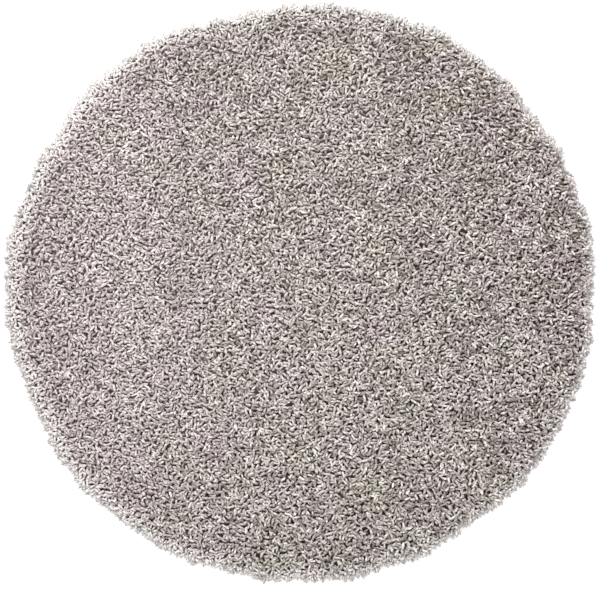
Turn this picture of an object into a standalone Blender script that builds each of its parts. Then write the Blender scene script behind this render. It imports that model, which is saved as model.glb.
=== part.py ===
"""Round shag rug, lying flat: one lumpy slab of long cut pile, with two rows of locks round its rim.

Metres, +Z up. The origin is on the floor, below the middle of the rug.
"""

import math
import random
from collections import namedtuple

import bmesh
import bpy
from mathutils import Vector, noise

# The rug across the tips of its locks
SPAN_X = 1.200
SPAN_Y = 1.186

# The slab: ground cloth and pile together
PILE_TOP = 0.0315  # where the pile stands upright
CLUMP_RISE = 0.0036  # the pile gathers in soft clumps this much higher or lower
CLUMP_WIDTH = 0.070
TUFT_RISE = 0.0018  # and single tufts stand up or sink a little more
TUFT_SHIFT = 0.0050
SHOULDER = 0.040  # the pile rounds over within this distance of the rim
RIM_CROWN = 0.0225  # and ends this high above the floor
RING_STEPS = 25  # rings of points from the middle to the rim
RIM_POINTS = 6 * RING_STEPS

# Where the two rows of locks meet on the rim's wall
ROW_SEAM = 0.0105

# A row of locks: its mean reach, a lock's corners and two cross-sections on the way to the tip.
# A corner lies at one side of the lock or in its middle (-1, 0 or 1) and low or high (0 or 1).
Row = namedtuple("Row", "reach corners sections")
Corner = namedtuple("Corner", "side up")
Section = namedtuple("Section", "along width low high")
LOWER_ROW = Row(
    reach=0.0250,
    corners=(Corner(-1, 1), Corner(-1, 0), Corner(1, 0), Corner(1, 1)),
    sections=(Section(0.50, 0.76, 0.0, 0.0085), Section(1.0, 0.30, 0.0, 0.0034)),
)
UPPER_ROW = Row(
    reach=0.0215,
    corners=(Corner(-1, 1), Corner(0, 0), Corner(1, 1)),
    sections=(Section(0.50, 0.76, 0.0103, 0.0178), Section(1.0, 0.28, 0.0094, 0.0128)),
)
REACH_SPREAD = 0.20  # locks reach this share more or less than their row's mean
WIDTH_SPREAD = 0.08
SWAY = 0.0070  # how far a lock's tip leans to one side

# Where the rim swells out of round: waves round the rim, height, and the bearing of a crest
Swell = namedtuple("Swell", "waves height bearing")
SWELLS = (
    Swell(2, 0.0027, 20),
    Swell(3, 0.0023, 40),
    Swell(4, 0.0020, 58),
    Swell(5, 0.0013, 54),
    Swell(6, 0.0014, 2),
    Swell(7, 0.0026, 21),
    Swell(9, 0.0012, 11),
)
# And where its yarns gather in uneven bunches: waves, height, and how often the waves drift
Bunching = namedtuple("Bunching", "waves height drifts")
BUNCHINGS = (Bunching(17, 0.0028, 3), Bunching(41, 0.0017, 5))
DRIFT = 2.0  # radians of a wave

YARN_GREY = (0.38, 0.34, 0.32, 1.0)
YARN_ROUGHNESS = 0.95
SHARP_EDGE = 45  # degrees: softer edges are shaded smooth


def clear_scene():
    for obj in list(bpy.data.objects):
        bpy.data.objects.remove(obj, do_unlink=True)


def yarn_material():
    material = bpy.data.materials.new("heathered_yarn")
    material.use_nodes = True
    shader = material.node_tree.nodes["Principled BSDF"]
    shader.inputs["Base Color"].default_value = YARN_GREY
    shader.inputs["Roughness"].default_value = YARN_ROUGHNESS
    shader.inputs["Metallic"].default_value = 0.0
    return material


def wall_radius(angle):
    """Where the slab's side stands: an ellipse inside the locks, swollen and bunched."""
    half_x = SPAN_X / 2 - LOWER_ROW.reach
    half_y = SPAN_Y / 2 - LOWER_ROW.reach
    radius = half_x * half_y / math.hypot(half_y * math.cos(angle), half_x * math.sin(angle))
    for swell in SWELLS:
        radius += swell.height * math.cos(swell.waves * (angle - math.radians(swell.bearing)))
    for bunching in BUNCHINGS:
        drift = DRIFT * math.sin(bunching.drifts * angle + bunching.waves)
        radius += bunching.height * math.sin(bunching.waves * angle + drift)
    return radius


def rim_ring(mesh, height, offset):
    """A ring of points round the slab's wall, turned by a share of the spacing between them."""
    ring = []
    for index in range(RIM_POINTS):
        angle = math.tau * (index + offset) / RIM_POINTS
        radius = wall_radius(angle)
        ring.append(mesh.verts.new((radius * math.cos(angle), radius * math.sin(angle), height)))
    return ring


def pile_height(point):
    """The top of the pile: level but for its clumps, rounded over to the crown of the rim."""
    inset = wall_radius(math.atan2(point.y, point.x)) - point.length
    share = max(0.0, min(1.0, inset / SHOULDER))
    rise = math.sqrt(1.0 - (1.0 - share) ** 2)
    clump = 2 * CLUMP_RISE * noise.noise(Vector((point.x, point.y, 0.0)) / CLUMP_WIDTH)
    return RIM_CROWN + (PILE_TOP - RIM_CROWN + clump) * rise


def pile_ring(mesh, ring, rng):
    """Ring k of the pile's tufts holds 6k points, so that all are about as far apart."""
    tufts = []
    for index in range(6 * ring):
        angle = math.tau * index / (6 * ring)
        radius = wall_radius(angle) * ring / RING_STEPS
        point = Vector((radius * math.cos(angle), radius * math.sin(angle)))
        point += Vector((rng.uniform(-1, 1), rng.uniform(-1, 1))) * TUFT_SHIFT
        height = pile_height(point) + rng.uniform(-TUFT_RISE, TUFT_RISE)
        tufts.append(mesh.verts.new((point.x, point.y, height)))
    return tufts


def join_rings(mesh, inner, outer, ring):
    """Fills the band between two rings of the pile, a sixth of the round at a time."""
    for sixth in range(6):
        for step in range(ring):
            near = sixth * (ring - 1) + step
            far = sixth * ring + step
            a = outer[far]
            b = outer[(far + 1) % len(outer)]
            c = inner[near % len(inner)]
            mesh.faces.new((a, b, c))
            if step < ring - 1:
                mesh.faces.new((b, inner[(near + 1) % len(inner)], c))


def pile_top(mesh, crown, rng):
    """The slab's upper face, from the middle out to the crown of the rim."""
    inner = [mesh.verts.new((0.0, 0.0, pile_height(Vector((0.0, 0.0)))))]
    for ring in range(1, RING_STEPS):
        outer = pile_ring(mesh, ring, rng)
        join_rings(mesh, inner, outer, ring)
        inner = outer
    join_rings(mesh, inner, crown, RING_STEPS)


def rim_wall(mesh, crown):
    """The slab's side and its flat underside. Returns the roots of the upper and lower locks.

    The points of the seam lie half a step on from the crown's, so that the upper locks hang over
    the gaps between the lower ones.
    """
    seam = rim_ring(mesh, ROW_SEAM, 0.5)
    floor = rim_ring(mesh, 0.0, 0.5)
    upper_roots = []
    lower_roots = []
    for index in range(RIM_POINTS):
        after = (index + 1) % RIM_POINTS
        upper_roots.append(mesh.faces.new((crown[index], seam[index], crown[after])))
        mesh.faces.new((seam[index], seam[after], crown[after]))
        lower_roots.append(mesh.faces.new((seam[index], floor[index], floor[after], seam[after])))
    mesh.faces.new(list(reversed(floor)))
    return upper_roots, lower_roots


def grow_lock(mesh, root, row, rng):
    """Draws one face of the wall out into a lock that narrows, droops and leans to one side."""
    middle = root.calc_center_median()
    middle.z = 0.0
    outward = middle.normalized()
    aside = Vector((-outward.y, outward.x, 0.0))
    half_width = max(aside.dot(vert.co - middle) for vert in root.verts)
    half_width *= 1.0 + rng.uniform(-WIDTH_SPREAD, WIDTH_SPREAD)
    reach = row.reach * (1.0 + rng.uniform(-REACH_SPREAD, REACH_SPREAD))
    sway = rng.uniform(-SWAY, SWAY)
    face = root
    for section in row.sections:
        face = bmesh.ops.extrude_discrete_faces(mesh, faces=[face])["faces"][0]
        centre = middle + outward * reach * section.along + aside * sway * section.along ** 2
        for vert, corner in zip(face.verts, row.corners):
            height = section.high if corner.up else section.low
            vert.co = centre + aside * half_width * section.width * corner.side
            vert.co.z = height


def centre_and_size(mesh):
    """Sets the span across the locks to its size, with its middle over the origin."""
    for axis, span in ((0, SPAN_X), (1, SPAN_Y)):
        low = min(vert.co[axis] for vert in mesh.verts)
        high = max(vert.co[axis] for vert in mesh.verts)
        for vert in mesh.verts:
            vert.co[axis] = (vert.co[axis] - (low + high) / 2) * span / (high - low)


def shag_rug():
    rng = random.Random(11)
    mesh = bmesh.new()
    crown = rim_ring(mesh, RIM_CROWN, 0.0)
    pile_top(mesh, crown, rng)
    upper_roots, lower_roots = rim_wall(mesh, crown)
    for root in upper_roots:
        grow_lock(mesh, root, UPPER_ROW, rng)
    for root in lower_roots:
        grow_lock(mesh, root, LOWER_ROW, rng)
    centre_and_size(mesh)
    data = bpy.data.meshes.new("shag_rug")
    mesh.to_mesh(data)
    mesh.free()
    data.shade_smooth()
    data.set_sharp_from_angle(angle=math.radians(SHARP_EDGE))
    data.materials.append(yarn_material())
    rug = bpy.data.objects.new("shag_rug", data)
    bpy.context.scene.collection.objects.link(rug)
    return rug


clear_scene()
shag_rug()
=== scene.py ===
import math

import bpy
import numpy as np
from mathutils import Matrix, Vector


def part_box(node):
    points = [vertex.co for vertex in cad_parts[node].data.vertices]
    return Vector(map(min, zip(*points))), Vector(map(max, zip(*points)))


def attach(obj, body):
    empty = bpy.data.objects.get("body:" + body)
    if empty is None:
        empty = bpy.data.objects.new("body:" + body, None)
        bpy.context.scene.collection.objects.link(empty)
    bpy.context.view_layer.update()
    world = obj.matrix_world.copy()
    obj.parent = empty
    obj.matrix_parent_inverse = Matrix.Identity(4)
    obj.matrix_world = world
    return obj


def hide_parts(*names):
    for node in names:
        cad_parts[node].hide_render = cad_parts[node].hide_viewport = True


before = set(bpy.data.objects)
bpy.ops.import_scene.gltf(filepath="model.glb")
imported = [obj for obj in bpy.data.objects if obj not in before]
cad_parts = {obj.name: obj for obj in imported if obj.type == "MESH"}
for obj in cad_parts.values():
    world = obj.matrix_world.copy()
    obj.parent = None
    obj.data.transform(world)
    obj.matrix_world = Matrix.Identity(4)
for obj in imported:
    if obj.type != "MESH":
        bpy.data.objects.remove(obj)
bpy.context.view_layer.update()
bpy.ops.object.select_all(action="DESELECT")


# ---- Ground cloth --------------------------------------------------------------------------
# A round of plain-woven cloth, 2 mm thick, that the yarns are tufted through. It lies flat on
# the floor, and its cut edge stays hidden under the yarns that droop over the rim.

RUG_LOW, RUG_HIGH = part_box("shag_rug")
HALF_WIDTH = (RUG_HIGH.x - RUG_LOW.x) / 2
HALF_DEPTH = (RUG_HIGH.y - RUG_LOW.y) / 2
CLOTH_INSET = 0.020  # from the tips of the yarns to the cut edge of the cloth
CLOTH_LOW = 0.0004
CLOTH_HIGH = 0.0024
CLOTH_EDGE_POINTS = 300
WEFT_PITCH = 0.0030
WEAVE_DEPTH = 0.0006
CLOTH_FIBRES = 240.0  # to the metre
# The deep colour is the fibre's darker tone and also painted shade where the weave dips
CLOTH_PALE = (0.52, 0.47, 0.40)
CLOTH_DEEP = (0.30, 0.26, 0.21)

# The slow swells of the rim as the rug lies: waves round it, height, and the bearing of a crest
SWELLS = (
    (2, 0.0027, 20),
    (3, 0.0023, 40),
    (4, 0.0020, 58),
    (5, 0.0013, 54),
    (6, 0.0014, 2),
    (7, 0.0026, 21),
    (9, 0.0012, 11),
)
# And where its yarns gather in uneven bunches: waves, height, and how often the waves drift
BUNCHINGS = ((17, 0.0028, 3), (41, 0.0017, 5))
DRIFT = 2.0
# The swells push the rim out and to one side, so it is drawn in and moved back over the middle
RIM_INSET = 0.0033
RIM_SHIFT = (0.0024, 0.0018)


def rim_radius(angle):
    """How far the tips of the yarns reach from the middle of the rug, for one angle or many."""
    across = np.hypot(HALF_DEPTH * np.cos(angle), HALF_WIDTH * np.sin(angle))
    radius = HALF_WIDTH * HALF_DEPTH / across
    for waves, height, bearing in SWELLS:
        radius = radius + height * np.cos(waves * (angle - math.radians(bearing)))
    for waves, height, drifts in BUNCHINGS:
        drift = DRIFT * np.sin(drifts * angle + waves)
        radius = radius + height * np.sin(waves * angle + drift)
    return radius - RIM_INSET + RIM_SHIFT[0] * np.cos(angle) + RIM_SHIFT[1] * np.sin(angle)


class Strand:
    """A number, colour or vector on its way through a material's nodes."""

    def __init__(self, tree, socket):
        self.tree = tree
        self.socket = socket

    def node(self, kind, settings=(), out=0, **values):
        """Adds a node, makes its settings, then feeds its sockets. An underscore stands for a space."""
        made = self.tree.nodes.new(kind)
        for name, value in dict(settings).items():
            setattr(made, name, value)
        for name, value in values.items():
            key = int(name[1:]) if name[0] == "i" and name[1:].isdigit() else name.replace("_", " ")
            if isinstance(value, Strand):
                self.tree.links.new(value.socket, made.inputs[key])
            else:
                made.inputs[key].default_value = value
        return Strand(self.tree, made.outputs[out])

    def maths(self, operation, *others):
        feeds = {f"i{n}": value for n, value in enumerate((self, *others))}
        return self.node("ShaderNodeMath", {"operation": operation}, **feeds)

    def __add__(self, other):
        return self.maths("ADD", other)

    def __sub__(self, other):
        return self.maths("SUBTRACT", other)

    def __rsub__(self, other):
        return (self * -1) + other

    def __mul__(self, other):
        return self.maths("MULTIPLY", other)

    def __truediv__(self, other):
        return self.maths("DIVIDE", other)

    __radd__ = __add__
    __rmul__ = __mul__

    def mix(self, low, high):
        """From one colour to the other as this number goes from 0 to 1."""
        return self.node(
            "ShaderNodeMix", {"data_type": "RGBA"}, out=2, Factor=self, i6=low, i7=high
        )

    def smooth(self, low, high):
        """0 below low and 1 above high, with a soft step between."""
        return self.node(
            "ShaderNodeMapRange",
            {"interpolation_type": "SMOOTHSTEP"},
            Value=self, From_Min=low, From_Max=high,
        )


def cloth_shader(name, roughness):
    """A new matt material. Returns it, its shader, and a first strand to work from."""
    material = bpy.data.materials.new(name)
    material.use_nodes = True
    shader = material.node_tree.nodes["Principled BSDF"]
    shader.inputs["Roughness"].default_value = roughness
    shader.inputs["Specular IOR Level"].default_value = 0.25
    return material, shader, Strand(material.node_tree, None)


def feed(shader, start, **values):
    for name, strand in values.items():
        start.tree.links.new(strand.socket, shader.inputs[name.replace("_", " ")])


def opaque(colour):
    return (*colour, 1.0)


def ground_cloth_material():
    """Plain weave: warp and weft cross in turn, each rib painted a little darker where it dips, as
    painted shade.
    """
    material, shader, start = cloth_shader("woven_ground_cloth", 0.9)
    place = start.node("ShaderNodeTexCoord", out=3)
    across = place.node("ShaderNodeSeparateXYZ", out=0, Vector=place)
    along = place.node("ShaderNodeSeparateXYZ", out=1, Vector=place)
    warp = (across * (math.tau / WEFT_PITCH)).maths("SINE")
    weft = (along * (math.tau / WEFT_PITCH)).maths("SINE")
    weave = (warp * weft) * 0.5 + 0.5
    fibre = place.node("ShaderNodeTexNoise", Vector=place, Scale=CLOTH_FIBRES, Detail=3.0)
    # Painted shade in the dips of the weave, with the fibre's own uneven tone
    tone = weave * 0.7 + fibre * 0.3
    colour = tone.mix(opaque(CLOTH_DEEP), opaque(CLOTH_PALE))
    relief = weave.node("ShaderNodeBump", Height=weave, Strength=0.6, Distance=WEAVE_DEPTH)
    feed(shader, start, Base_Color=colour, Normal=relief)
    return material


bpy.ops.mesh.primitive_circle_add(
    vertices=CLOTH_EDGE_POINTS, radius=1.0, fill_type="NGON", location=(0, 0, 0)
)
ground_cloth = bpy.context.object
ground_cloth.name = "ground_cloth"
for vert in ground_cloth.data.vertices:
    bearing = math.atan2(vert.co.y, vert.co.x)
    radius = rim_radius(bearing) - CLOTH_INSET
    vert.co = (radius * math.cos(bearing), radius * math.sin(bearing), CLOTH_HIGH)
thick = ground_cloth.modifiers.new("thick", "SOLIDIFY")
thick.thickness = CLOTH_HIGH - CLOTH_LOW
thick.offset = -1.0
bpy.ops.object.modifier_apply(modifier="thick")
ground_cloth.data.materials.append(ground_cloth_material())
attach(ground_cloth, "root")
bpy.ops.object.select_all(action="DESELECT")


# ---- Lower pile ----------------------------------------------------------------------------
# Below their tips the tufted yarns stand so close that they make a dense mat. Its colours are much
# darker than the yarns': painted shade of the deep pile. It is lumpy where the tufts gather, and its
# rounded side bulges over the edge of the ground cloth.

MAT_INSET = 0.016
MAT_STEPS = 80
MAT_TOP = 0.0180
MAT_LUMP = 0.0012
MAT_LUMP_WIDTH = 0.022
MAT_SHOULDER = 0.026
MAT_EDGE = 0.0060
# The mat's colours, far darker than the yarns', are painted shade of the deep pile
MAT_SHADED_DARK = (0.060, 0.044, 0.037)
MAT_SHADED_LIGHT = (0.31, 0.245, 0.215)
MAT_PAINTED_LIGHT_SLOPE = (-0.80, 0.80)  # painted light and shade: its tone for each metre to the right and to the back, paler towards the key light at the back left
MAT_TUFTS = 210.0  # to the metre
MAT_FIBRES = 600.0
MAT_RELIEF = 0.002
MAT_SHARP = 50  # degrees: softer edges are shaded smooth
MAT_CLEAR = 0.0003  # between the cloth and the underside of the mat
FIELD_WAVES = 24


def smooth_field(x, y, width, seed):
    """A slow chance field of crossing waves: 0 on the whole, and mostly between -1 and 1."""
    chance = np.random.default_rng(seed)
    total = np.zeros_like(x)
    for _ in range(FIELD_WAVES):
        bearing = chance.uniform(0, math.tau)
        turns = math.tau / width * chance.uniform(0.6, 1.4)
        phase = chance.uniform(0, math.tau)
        total += np.sin(turns * (x * math.cos(bearing) + y * math.sin(bearing)) + phase)
    return total / math.sqrt(FIELD_WAVES / 2)


def rounded(inset, shoulder):
    """From 0 at the rim to 1 past the shoulder, round as a quarter of an ellipse."""
    share = np.clip(inset / shoulder, 0.0, 1.0)
    return np.sqrt(1.0 - (1.0 - share) ** 2)


def mat_top(x, y):
    """The height of the mat: lumpy, and rounded down towards its side."""
    inset = rim_radius(np.arctan2(y, x)) - MAT_INSET - np.hypot(x, y)
    top = MAT_TOP + MAT_LUMP * smooth_field(x, y, MAT_LUMP_WIDTH, 4)
    return MAT_EDGE + (top - MAT_EDGE) * rounded(inset, MAT_SHOULDER)


def lower_pile_material():
    material, shader, start = cloth_shader("painted_shade_lower_pile", 1.0)
    place = start.node("ShaderNodeTexCoord", out=3)
    tufts = place.node("ShaderNodeTexVoronoi", Vector=place, Scale=MAT_TUFTS)
    fibre = place.node("ShaderNodeTexNoise", Vector=place, Scale=MAT_FIBRES, Detail=2.0)
    # Painted shade: dark between the tufts, and darker all over than the yarns
    tone = (1 - tufts.smooth(0.0, 0.8)) * 0.7 + fibre * 0.3
    relief = tone.node("ShaderNodeBump", Height=tone, Strength=0.8, Distance=MAT_RELIEF)
    right = place.node("ShaderNodeSeparateXYZ", out=0, Vector=place) * MAT_PAINTED_LIGHT_SLOPE[0]
    back = place.node("ShaderNodeSeparateXYZ", out=1, Vector=place) * MAT_PAINTED_LIGHT_SLOPE[1]
    colour = (tone + right + back).mix(opaque(MAT_SHADED_DARK), opaque(MAT_SHADED_LIGHT))
    feed(shader, start, Base_Color=colour, Normal=relief)
    return material


bpy.ops.mesh.primitive_grid_add(
    x_subdivisions=MAT_STEPS, y_subdivisions=MAT_STEPS, size=2.0, location=(0, 0, 0)
)
lower_pile = bpy.context.object
lower_pile.name = "lower_pile"
square = np.array([vert.co for vert in lower_pile.data.vertices])
# The square is rounded into a disc, which keeps its squares nearly even
round_x = square[:, 0] * np.sqrt(1.0 - square[:, 1] ** 2 / 2)
round_y = square[:, 1] * np.sqrt(1.0 - square[:, 0] ** 2 / 2)
reach = rim_radius(np.arctan2(round_y, round_x)) - MAT_INSET
disc = np.stack((round_x * reach, round_y * reach, mat_top(round_x * reach, round_y * reach)), axis=-1)
lower_pile.data.vertices.foreach_set("co", disc.ravel())
bpy.ops.object.mode_set(mode="EDIT")
bpy.ops.mesh.select_all(action="SELECT")
bpy.ops.mesh.region_to_loop()
bpy.ops.mesh.extrude_region_move(
    TRANSFORM_OT_translate={"value": (0, 0, CLOTH_HIGH + MAT_CLEAR - MAT_EDGE)}
)
bpy.ops.mesh.edge_face_add()
bpy.ops.mesh.select_all(action="SELECT")
bpy.ops.mesh.normals_make_consistent(inside=False)
bpy.ops.object.mode_set(mode="OBJECT")
bpy.ops.object.shade_smooth_by_angle(angle=math.radians(MAT_SHARP))
lower_pile.data.materials.append(lower_pile_material())
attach(lower_pile, "root")
bpy.ops.object.select_all(action="DESELECT")


# ---- Pile ----------------------------------------------------------------------------------
# The cut pile: soft twisted yarns of heathered fibre, about 5 mm thick, tufted through the cloth
# and cut. Each stands up out of the mat and flops over. The last rows droop over the side of the
# mat, and the lowest of them lies on the floor.

# One yarn
YARN_SIDES = 4
YARN_RINGS = (0.0, 0.5, 0.82, 1.0)  # where on its way from root to tip a yarn has its bends
YARN_RADIUS = 0.0026
YARN_TIP = 0.60  # the cut tip is this share of the yarn's thickness
YARN_TWIST = math.radians(45)
TIP_CLEAR = 0.0006  # no yarn comes closer to the floor

# Where the yarns stand, and how high
PILE_PITCH = 0.0064  # between one yarn and the next, seen from above
PILE_JITTER = 0.45
PILE_INSET = 0.0080  # from the rim to where the yarns stand up
PARTING = 0.0006  # how far the yarns shift together, so that the pile gathers and parts
PARTING_WIDTH = 0.045
PILE_CROWN = 0.0060  # the height of the tips at the rim
PILE_TOP = 0.0315  # and past its shoulder
PILE_SHOULDER = 0.055
PILE_CLUMP = 0.0015
PILE_CLUMP_WIDTH = 0.060
TIP_SPREAD = 0.0095  # some tips end this much lower
ROOT_DEPTH = 0.0025  # from the top of the mat to a yarn's root
ROOT_SHIFT = 0.0015  # and how far from below its bend the root may lie
ROOT_INSET = 0.0020  # no root comes closer to the side of the mat

# How they flop
STROKE = (0.0075, 0.0160)  # how far a yarn flops sideways
STROKE_ASIDE = 1.25  # and more of them to the left or right than to the front or back
FLOP = (-0.0020, 0.0040)  # and how far its tip hangs below its bend
# Within this distance of the rim the yarns more and more flop outwards and less their own way,
# bend higher, and have their roots lower
EDGE_WIDTH = 0.030
EDGE_OUTWARD = 0.7
EDGE_LESS_FREE = 0.4
EDGE_LIFT = 0.0030
EDGE_ROOT_DROP = 0.0030

# The rim. Its rows of drooping yarns go from the lowest to the highest: how far back from the rim
# and how high their tips lie, and how far back and how high they bend.
LOCKS = 110
LOCK_DEPTH = 0.0048
LOCK_MEAN = 0.64  # the mean of a rounded lobe, so that on the whole the locks end at the rim
LOCK_WANDER = ((2.2, 7, 1), (1.5, 13, 4))  # radians of a lobe, waves round the rim, and phase
DROOPING_ROWS = (
    (-0.0045, 0.0036, 0.0060, 0.0085),
    (-0.0005, 0.0080, 0.0080, 0.0140),
    (0.0035, 0.0125, 0.0105, 0.0185),
)
DROOP_PITCH = 0.0050  # between one yarn and the next, round the rim
DROOP_ROOT = 0.0200  # from the rim to the roots
DROOP_ROOT_DEPTH = (0.002, 0.006)  # below the top of the mat
DROOP_SPREAD = 0.0075  # some tips and bends lie this much further back than others
DROOP_BEND_RISE = (-0.002, 0.002)  # and higher or lower
DROOP_TIP_RISE = (-0.001, 0.002)
SWAY = 0.0050
SWAY_AT_BEND = 0.3  # as a share of the sway of the tip

# The chart of yarn skins: this many shades, each in tints from pink to olive and, last, a grey
SHADES = 8
TINTS = 8
CHART_MARGIN = 0.06
YARN_DARK_PINK = (0.168, 0.122, 0.119)
YARN_DARK_OLIVE = (0.157, 0.130, 0.092)
YARN_LIGHT_PINK = (0.79, 0.717, 0.715)
YARN_LIGHT_OLIVE = (0.79, 0.741, 0.686)
YARN_DARK_GREY = (0.16, 0.145, 0.135)
YARN_LIGHT_GREY = (0.80, 0.765, 0.745)
ROOT_PAINTED_SHADE = 0.72  # painted shade: how pale a yarn is at its root, as a share of its tip, as if shaded deep in the pile
PLY_TURNS = 3.5
PLY_DEPTH = 0.0010
# The plies are painted paler than the grooves between them, which carry painted shade
PLY_PALER = 0.22
FIBRE_PALER = 0.20
GROOVE_SHADED_TONE = 0.76  # painted shade in the groove between the two plies

# Which shade and tint a yarn has
SHADE_MEAN = 0.550
SHADE_SPREAD = 0.185
SPREAD_RIGHT = 0.3  # this share more at the right and less at the left
PAINTED_SHADE_RIGHT = 0.07  # painted shade to the right, and painted light, paler, at the left
# Painted shade towards the front
PAINTED_SHADE_FRONT = 0.03
FRONT_START = 0.30  # from the middle to where the front begins to darken
FRONT_FADE = 0.25
MOTTLING = 0.020
MOTTLING_WIDTH = 0.090
TINT_MEAN = 0.57  # from 0 for pink to 1 for olive
TINT_SPREAD = 0.18
OLIVE_RIGHT = 0.34
PINK_SIDES = 0.72
TINT_MOTTLING = 0.24  # and here and there it is pinker or more olive
TINT_MOTTLING_WIDTH = 0.140
# Near the rim the yarns are painted paler, a painted light as of the floor's light on them, and are
# greyer and more alike, above all at the left. Each value is given for the left, the middle and the
# right of the rug.
RIM_PAINTED_LIGHT = (0.275, 0.220, 0.180)
RIM_PAINTED_LIGHT_INSET = (0.0265, 0.0070, 0.0010)  # from the rim to the palest yarns
RIM_PAINTED_LIGHT_WIDTH = (0.0120, 0.0175, 0.0180)
RIM_GREY_WIDTH = (0.027, 0.021, 0.016)
RIM_ALIKE = (0.9, 0.5, 0.2)
PARTING_PAINTED_SHADE = 0.035  # painted shade behind the rim, where its drooping yarns part from the standing ones
PARTED_INSET = 0.055
PARTED_WIDTH = 0.025
# Patches of painted light and shade, where the pile is brushed one way and catches the light so, some
# along the rows of tufts. Each has its middle, its half width and half depth, and how much paler or
# darker it is.
PAINTED_LIGHT_PATCHES = (
    (-0.350, 0.120, 0.065, 0.450, 0.05),
    (-0.245, 0.190, 0.022, 0.400, -0.04),
    (-0.430, 0.350, 0.080, 0.080, 0.05),
    (-0.310, -0.120, 0.035, 0.200, 0.03),
    (-0.535, 0.005, 0.025, 0.150, -0.07),
    (-0.210, 0.465, 0.048, 0.045, -0.10),
    (-0.250, -0.385, 0.060, 0.045, -0.09),
    (0.000, -0.475, 0.080, 0.040, -0.07),
    (0.190, -0.415, 0.090, 0.055, -0.09),
    (0.040, 0.055, 0.040, 0.030, 0.04),
    (0.100, 0.090, 0.050, 0.050, 0.05),
    (0.110, -0.200, 0.090, 0.100, 0.04),
    (0.220, 0.350, 0.040, 0.250, -0.06),
    (0.380, 0.270, 0.030, 0.180, -0.05),
    (0.365, 0.365, 0.045, 0.050, -0.05),
    (0.550, 0.130, 0.045, 0.200, -0.07),
    (0.520, -0.085, 0.035, 0.040, -0.06),
    (0.385, -0.280, 0.025, 0.090, -0.05),
)
PILE_PIECES = 5  # the pile is split into as many sectors, so that no mesh grows too large


def model_yarn():
    """One straight yarn, 1 high and 1 in radius, in steps, its cut tip at the top."""
    bpy.ops.mesh.primitive_cylinder_add(
        vertices=YARN_SIDES, radius=1.0, depth=1.0, end_fill_type="NGON", location=(0, 0, 0.5)
    )
    made = bpy.context.object
    bpy.ops.object.transform_apply(location=True)
    bpy.ops.object.mode_set(mode="EDIT")
    bpy.ops.mesh.select_mode(type="EDGE")
    bpy.ops.mesh.select_all(action="DESELECT")
    bpy.ops.object.mode_set(mode="OBJECT")
    for edge in made.data.edges:
        ends = [made.data.vertices[index].co.z for index in edge.vertices]
        edge.select = max(ends) - min(ends) > 0.5
    bpy.ops.object.mode_set(mode="EDIT")
    bpy.ops.mesh.subdivide(number_cuts=len(YARN_RINGS) - 2)
    bpy.ops.mesh.select_all(action="SELECT")
    bpy.ops.mesh.quads_convert_to_tris()
    bpy.ops.object.mode_set(mode="OBJECT")
    return made


def lock_edge(angle):
    """The rim as the locks shape it: rounded lobes of uneven width with notches between."""
    wander = sum(shift * np.sin(waves * angle + phase) for shift, waves, phase in LOCK_WANDER)
    lobe = np.abs(np.sin(LOCKS / 2 * angle + wander)) - LOCK_MEAN
    return rim_radius(angle) + LOCK_DEPTH * lobe


def plant_yarns(chance):
    """Where the yarns show from above: a staggered grid, each a little out of place."""
    reach = HALF_WIDTH + PILE_PITCH
    columns = np.arange(-reach, reach, PILE_PITCH)
    rows = np.arange(-reach, reach, PILE_PITCH * math.sqrt(0.75))
    x, y = np.meshgrid(columns, rows)
    x = x + np.where(np.arange(len(rows)) % 2, PILE_PITCH / 2, 0.0)[:, None]
    x = x.ravel() + chance.uniform(-PILE_JITTER, PILE_JITTER, x.size) * PILE_PITCH
    y = y.ravel() + chance.uniform(-PILE_JITTER, PILE_JITTER, y.size) * PILE_PITCH
    x = x + PARTING * smooth_field(x, y, PARTING_WIDTH, 7)
    y = y + PARTING * smooth_field(x, y, PARTING_WIDTH, 8)
    inside = np.hypot(x, y) < lock_edge(np.arctan2(y, x)) - PILE_INSET
    return x[inside], y[inside]


def on_rim(angle, inset, height):
    """Points this far back from the rim, at this height."""
    radius = lock_edge(angle) - inset
    return np.column_stack((radius * np.cos(angle), radius * np.sin(angle), height))


def droop_yarns(chance, tip_inset, tip_height, bend_inset, bend_height):
    """One row round the rim: the roots, bends and tips of its yarns."""
    number = round(math.tau * HALF_WIDTH / DROOP_PITCH)
    angle = (np.arange(number) + chance.uniform(-0.5, 0.5, number)) * math.tau / number
    sway = chance.normal(0, SWAY / HALF_WIDTH, number)
    root = on_rim(angle, DROOP_ROOT, np.zeros(number))
    root[:, 2] = mat_top(root[:, 0], root[:, 1]) - chance.uniform(*DROOP_ROOT_DEPTH, number)
    bend_inset = bend_inset + chance.uniform(-0.5, 0.5, number) * DROOP_SPREAD
    bend_height = bend_height + chance.uniform(*DROOP_BEND_RISE, number)
    bend = on_rim(angle + sway * SWAY_AT_BEND, bend_inset, bend_height)
    tip_inset = tip_inset + chance.uniform(0, 1, number) * DROOP_SPREAD
    tip_height = tip_height + chance.uniform(*DROOP_TIP_RISE, number)
    tip = on_rim(angle + sway, tip_inset, tip_height)
    return root, bend, tip


def unit(vectors):
    return vectors / np.linalg.norm(vectors, axis=-1, keepdims=True)


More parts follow.
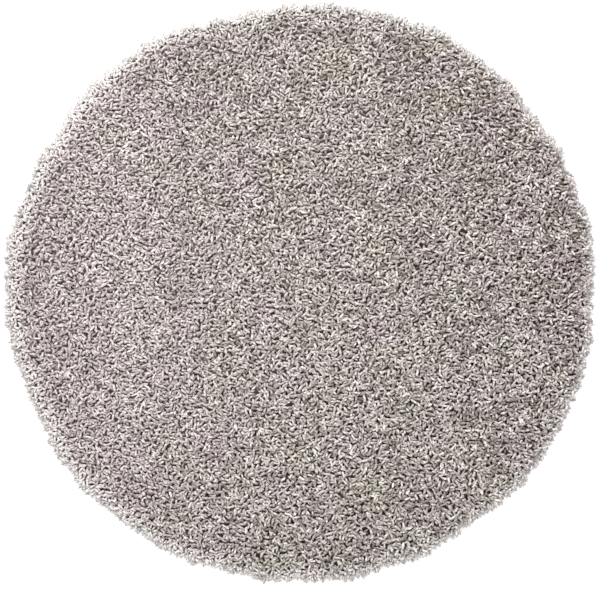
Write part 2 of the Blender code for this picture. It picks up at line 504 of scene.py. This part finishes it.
def bend_yarns(root, bend, tip, radius, roll):
    """Lays one yarn along each curve from root by way of bend to tip. Returns all their points."""
    share = np.array(YARN_RINGS)[None, :, None]
    root, bend, tip = root[:, None], bend[:, None], tip[:, None]
    line = root * (1 - share) ** 2 + bend * 2 * share * (1 - share) + tip * share ** 2
    ahead = unit((bend - root) * (1 - share) + (tip - bend) * share)
    level = np.cross(tip - bend, (0.0, 0.0, 1.0)) + 1e-6
    above = unit(np.cross(level, ahead))
    aside = np.cross(ahead, above)
    line[..., 2] = np.maximum(line[..., 2], radius[:, None] + TIP_CLEAR)
    rings = len(YARN_RINGS)
    spin = roll[:, None] + YARN_TWIST * np.array(YARN_RINGS)
    thick = radius[:, None] * np.where(np.arange(rings) == rings - 1, YARN_TIP, 1.0)
    cos = np.take(np.cos(spin) * thick, yarn_ring, axis=1)
    sin = np.take(np.sin(spin) * thick, yarn_ring, axis=1)
    sideways = cos * yarn_points[:, 0] - sin * yarn_points[:, 1]
    upwards = sin * yarn_points[:, 0] + cos * yarn_points[:, 1]
    offset = sideways[..., None] * np.take(aside, yarn_ring, axis=1)
    offset += upwards[..., None] * np.take(above, yarn_ring, axis=1)
    return np.take(line, yarn_ring, axis=1) + offset


def join_yarns(name, points, shade, tint):
    """Makes one mesh of the bent yarns. Each wears its own square of the chart of yarn skins."""
    count, size = points.shape[:2]
    faces = yarn_faces[None] + (np.arange(count) * size)[:, None, None]
    mesh = bpy.data.meshes.new(name)
    mesh.from_pydata(points.reshape(-1, 3), [], faces.reshape(-1, 3))
    corner = np.stack((shade, tint), axis=-1)[:, None]
    skin = (corner + CHART_MARGIN + yarn_skin[None] * (1 - 2 * CHART_MARGIN)) / (SHADES, TINTS)
    layer = mesh.uv_layers.new(name="OFBake")
    layer.data.foreach_set("uv", skin.ravel().astype(np.float32))
    mesh.shade_smooth()
    piece = bpy.data.objects.new(name, mesh)
    bpy.context.scene.collection.objects.link(piece)
    return piece


def yarn_material():
    """Two-ply twisted yarn: its square of the chart gives its shade and tint."""
    material, shader, start = cloth_shader("heathered_yarn", 0.85)
    chart = start.node("ShaderNodeUVMap", {"uv_map": "OFBake"})
    across = chart.node("ShaderNodeSeparateXYZ", out=0, Vector=chart) * SHADES
    along = chart.node("ShaderNodeSeparateXYZ", out=1, Vector=chart) * TINTS
    shade = across.maths("FLOOR") / (SHADES - 1)
    tint = along.maths("FLOOR") / (TINTS - 2)
    grey = tint.maths("GREATER_THAN", 1.0 + 0.5 / TINTS)
    around = across.maths("FRACT")
    height = along.maths("FRACT")
    dark = tint.mix(opaque(YARN_DARK_PINK), opaque(YARN_DARK_OLIVE))
    light = tint.mix(opaque(YARN_LIGHT_PINK), opaque(YARN_LIGHT_OLIVE))
    plies = ((around * 2 + height * PLY_TURNS) * math.tau).maths("SINE")
    ply = plies.smooth(-1.0, 0.1)
    place = chart.node("ShaderNodeCombineXYZ", X=across * 3, Y=along * 9)
    fibre = place.node("ShaderNodeTexNoise", Vector=place, Scale=6.0, Detail=3.0)
    # Painted shade: each yarn darkens towards its root
    depth = height.smooth(0.0, 0.75) * (1 - ROOT_PAINTED_SHADE) + ROOT_PAINTED_SHADE
    heather = shade.mix(dark, light)
    mixed = grey.mix(heather, shade.mix(opaque(YARN_DARK_GREY), opaque(YARN_LIGHT_GREY)))
    # Painted shade in the grooves between the plies and towards the root; the fibre noise is the yarn's
    # own heather
    tone = (ply * PLY_PALER + fibre * FIBRE_PALER + GROOVE_SHADED_TONE) * depth
    colour = tone.node("ShaderNodeVectorMath", {"operation": "SCALE"}, i0=mixed, Scale=tone)
    relief = ply.node("ShaderNodeBump", Height=ply, Strength=0.8, Distance=PLY_DEPTH)
    feed(shader, start, Base_Color=colour, Normal=relief)
    shader.inputs["Sheen Weight"].default_value = 0.15
    return material


def sided(across, values):
    """Between the values of the left, the middle and the right, as far across as each yarn is."""
    return np.interp(across, (-1, 0, 1), values)


yarn = model_yarn()
yarn_points = np.array([vert.co for vert in yarn.data.vertices])
yarn_faces = np.array([face.vertices for face in yarn.data.polygons])
yarn_ring = np.rint(yarn_points[:, 2] * (len(YARN_RINGS) - 1)).astype(int)
# A yarn's skin: round it, as the cylinder's own map has it, and along it, from root to tip
round_yarn = [corner.uv.x for corner in yarn.data.uv_layers.active.data]
along_yarn = [YARN_RINGS[yarn_ring[corner.vertex_index]] for corner in yarn.data.loops]
yarn_skin = np.column_stack((round_yarn, along_yarn))
bpy.data.objects.remove(yarn)

# The standing yarns: each flops its own way, and near the rim outwards
chance = np.random.default_rng(5)
x, y = plant_yarns(chance)
count = len(x)
rim_angle = np.arctan2(y, x)
outward = np.stack((np.cos(rim_angle), np.sin(rim_angle)), axis=-1)
inset = lock_edge(rim_angle) - np.hypot(x, y)
edge = np.clip(1 - inset / EDGE_WIDTH, 0, 1)[:, None]
bearing = chance.uniform(0, math.tau, count)
free = unit(np.stack((STROKE_ASIDE * np.cos(bearing), np.sin(bearing)), axis=-1))
heading = unit(free * (1 - EDGE_LESS_FREE * edge) + outward * EDGE_OUTWARD * edge)
stroke = heading * chance.uniform(*STROKE, count)[:, None]
place = np.stack((x, y), axis=-1)
top = PILE_TOP + PILE_CLUMP * smooth_field(x, y, PILE_CLUMP_WIDTH, 6)
top = PILE_CROWN + (top - PILE_CROWN) * rounded(inset, PILE_SHOULDER)
tip_height = top - chance.uniform(0, TIP_SPREAD, count)
bend_height = tip_height + chance.uniform(*FLOP, count) + edge[:, 0] * EDGE_LIFT
bend_place = place - stroke / 2
root_place = bend_place + chance.uniform(-ROOT_SHIFT, ROOT_SHIFT, (count, 2))
root_reach = np.hypot(*root_place.T)
most = rim_radius(np.arctan2(root_place[:, 1], root_place[:, 0])) - MAT_INSET - ROOT_INSET
root_place *= np.minimum(1.0, most / root_reach)[:, None]
root_height = mat_top(*root_place.T) - ROOT_DEPTH
root_height -= edge[:, 0] * chance.uniform(0, EDGE_ROOT_DROP, count)
root = np.column_stack((root_place, root_height))
bend = np.column_stack((bend_place, bend_height))
tip = np.column_stack((place + stroke / 2, tip_height))

# And with them the rows that droop over the rim
rows = [(root, bend, tip)]
rows += [droop_yarns(chance, *row) for row in DROOPING_ROWS]
root, bend, tip = (np.concatenate(part) for part in zip(*rows))
count = len(root)
radius = YARN_RADIUS * chance.uniform(0.85, 1.12, count)
roll = chance.uniform(0, math.tau, count)
points = bend_yarns(root, bend, tip, radius, roll)

# From left to right the pile is painted a little darker, and darker towards its front: painted shade,
# away from the key light at the back left. It is pinkest at the left, and most olive a little to the
# right of the middle. It is mottled at random, too, and in patches it has painted light and shade, as
# pile brushed one way or another catches the light.
x, y = ((bend + tip) / 2)[:, :2].T
rim_angle = np.arctan2(y, x)
inset = lock_edge(rim_angle) - np.hypot(x, y)
across = x / HALF_WIDTH
front = np.clip((-y - FRONT_START) / FRONT_FADE, 0, 1)
from_palest = (inset - sided(across, RIM_PAINTED_LIGHT_INSET)) / sided(across, RIM_PAINTED_LIGHT_WIDTH)
at_rim = np.exp(-(from_palest ** 2))
spread = SHADE_SPREAD * (1 + SPREAD_RIGHT * across) * (1 - sided(across, RIM_ALIKE) * at_rim)
tone = SHADE_MEAN + spread * chance.normal(0, 1, count)
# Painted shade towards the right and the front
tone -= PAINTED_SHADE_RIGHT * across
tone -= PAINTED_SHADE_FRONT * front
# Painted light on the yarns of the rim
tone += sided(across, RIM_PAINTED_LIGHT) * at_rim
# Painted shade in the parting behind the rim
tone -= PARTING_PAINTED_SHADE * np.exp(-(((inset - PARTED_INSET) / PARTED_WIDTH) ** 2))
tone += MOTTLING * smooth_field(x, y, MOTTLING_WIDTH, 9)
# Painted light and shade in the brushed patches
for middle_x, middle_y, half_width, half_depth, change in PAINTED_LIGHT_PATCHES:
    tone += change * np.exp(-(((x - middle_x) / half_width) ** 2) - ((y - middle_y) / half_depth) ** 2)
shade = np.clip(np.rint(tone * (SHADES - 1)), 0, SHADES - 1)
warmth = chance.normal(TINT_MEAN, TINT_SPREAD, count) + OLIVE_RIGHT * across - PINK_SIDES * across ** 2
warmth += TINT_MOTTLING * smooth_field(x, y, TINT_MOTTLING_WIDTH, 10)
tint = np.clip(np.rint(warmth * (TINTS - 2)), 0, TINTS - 2)
greyed = chance.uniform(0, 1, count) < np.exp(-((inset / sided(across, RIM_GREY_WIDTH)) ** 2))
tint[greyed] = TINTS - 1

sector = np.argsort(rim_angle, kind="stable")
material = yarn_material()
for number, members in enumerate(np.array_split(sector, PILE_PIECES), start=1):
    piece = join_yarns(f"pile_yarns_{number}", points[members], shade[members], tint[members])
    piece.data.materials.append(material)
    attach(piece, "root")
    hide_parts("shag_rug")


# ---- Floor, light and camera ---------------------------------------------------------------
# A plain white studio floor that glows a little, soft light from all round with a soft key from
# the back and a little from the left, and the camera straight above, as in the photograph.

FLOOR_SIZE = 12.0
FLOOR_TONE = (0.93, 0.93, 0.93)
FLOOR_GLOW = 0.25
WHITE = (1.0, 1.0, 1.0)
ROOM_LIGHT = 1.16
KEY_POWER = 422
KEY_SIZE = 1.4
KEY_PLACE = (-2.2, 4.7, 5.25)
SENSOR_WIDTH = 36.0
CAMERA_HEIGHT = 2.90
VIEW_WIDTH = 1.2196  # of the floor, across the whole picture
VIEW_MIDDLE = (0.0003, -0.0056)

bpy.ops.mesh.primitive_plane_add(size=FLOOR_SIZE, location=(0, 0, 0))
floor = bpy.context.object
floor.name = "studio_floor"
material, shader, _ = cloth_shader("white_studio_floor", 0.9)
shader.inputs["Base Color"].default_value = opaque(FLOOR_TONE)
shader.inputs["Emission Color"].default_value = opaque(WHITE)
shader.inputs["Emission Strength"].default_value = FLOOR_GLOW
floor.data.materials.append(material)

world = bpy.data.worlds.new("soft_room")
bpy.context.scene.world = world
world.use_nodes = True
world.node_tree.nodes["Background"].inputs["Color"].default_value = opaque(WHITE)
world.node_tree.nodes["Background"].inputs["Strength"].default_value = ROOM_LIGHT

key_light = bpy.data.objects.new("key_light", bpy.data.lights.new("key_light", "AREA"))
key_light.data.shape = "DISK"
key_light.data.size = KEY_SIZE
key_light.data.energy = KEY_POWER
key_light.location = KEY_PLACE
key_light.rotation_euler = (-Vector(KEY_PLACE)).to_track_quat("-Z", "Y").to_euler()
bpy.context.scene.collection.objects.link(key_light)

camera = bpy.data.objects.new("camera", bpy.data.cameras.new("camera"))
camera.data.sensor_width = SENSOR_WIDTH
camera.data.lens = SENSOR_WIDTH * CAMERA_HEIGHT / VIEW_WIDTH
camera.location = (*VIEW_MIDDLE, CAMERA_HEIGHT)
bpy.context.scene.collection.objects.link(camera)
bpy.context.scene.camera = camera
bpy.context.scene.view_settings.view_transform = "Standard"
